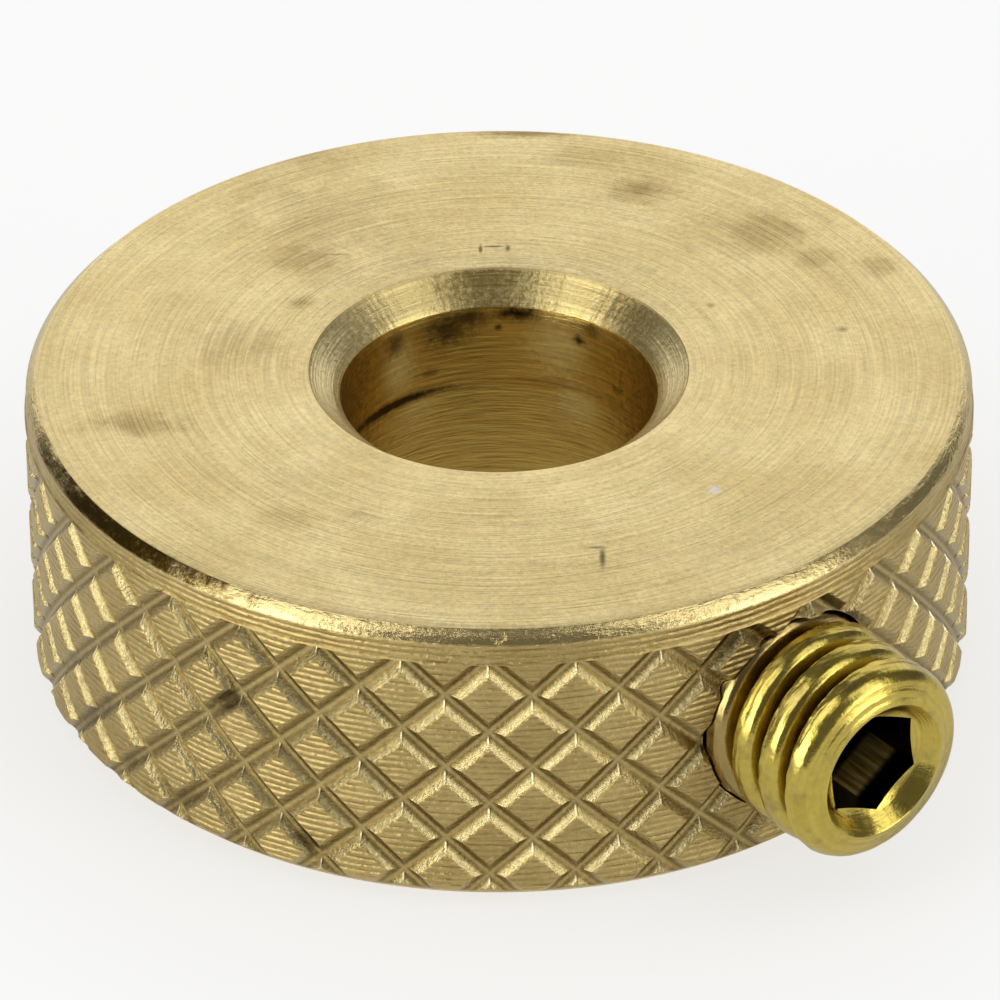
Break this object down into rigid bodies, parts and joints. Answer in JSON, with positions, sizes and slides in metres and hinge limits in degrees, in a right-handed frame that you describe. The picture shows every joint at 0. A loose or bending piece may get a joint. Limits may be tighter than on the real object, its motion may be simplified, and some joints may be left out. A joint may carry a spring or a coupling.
{
  "type": "knurled set screw collar",
  "caption": "Round brass shaft collar with a diamond knurled rim, a countersunk through bore and a radial socket set screw that clamps it on a rod.",
  "frame": {"origin": "on the bore axis, in the collar's bottom face", "axes": "+Z along the bore axis, towards the countersunk face; the set screw stands out along -Y; +X is a quarter turn from it"},
  "size_m": [0.019, 0.0216, 0.0063],
  "materials": {
    "collar_brass": "satin turned brass",
    "screw_brass": "bright machined brass"
  },
  "bodies": {
    "collar": {"collar": "collar_brass"},
    "screw": {"set_screw": "screw_brass"}
  },
  "joints": [
    {"name": "screw_travel", "type": "slide", "parent": "collar", "child": "screw", "axis": [0, -1, 0], "range_m": [-0.00255, 0.00238]}
  ]
}
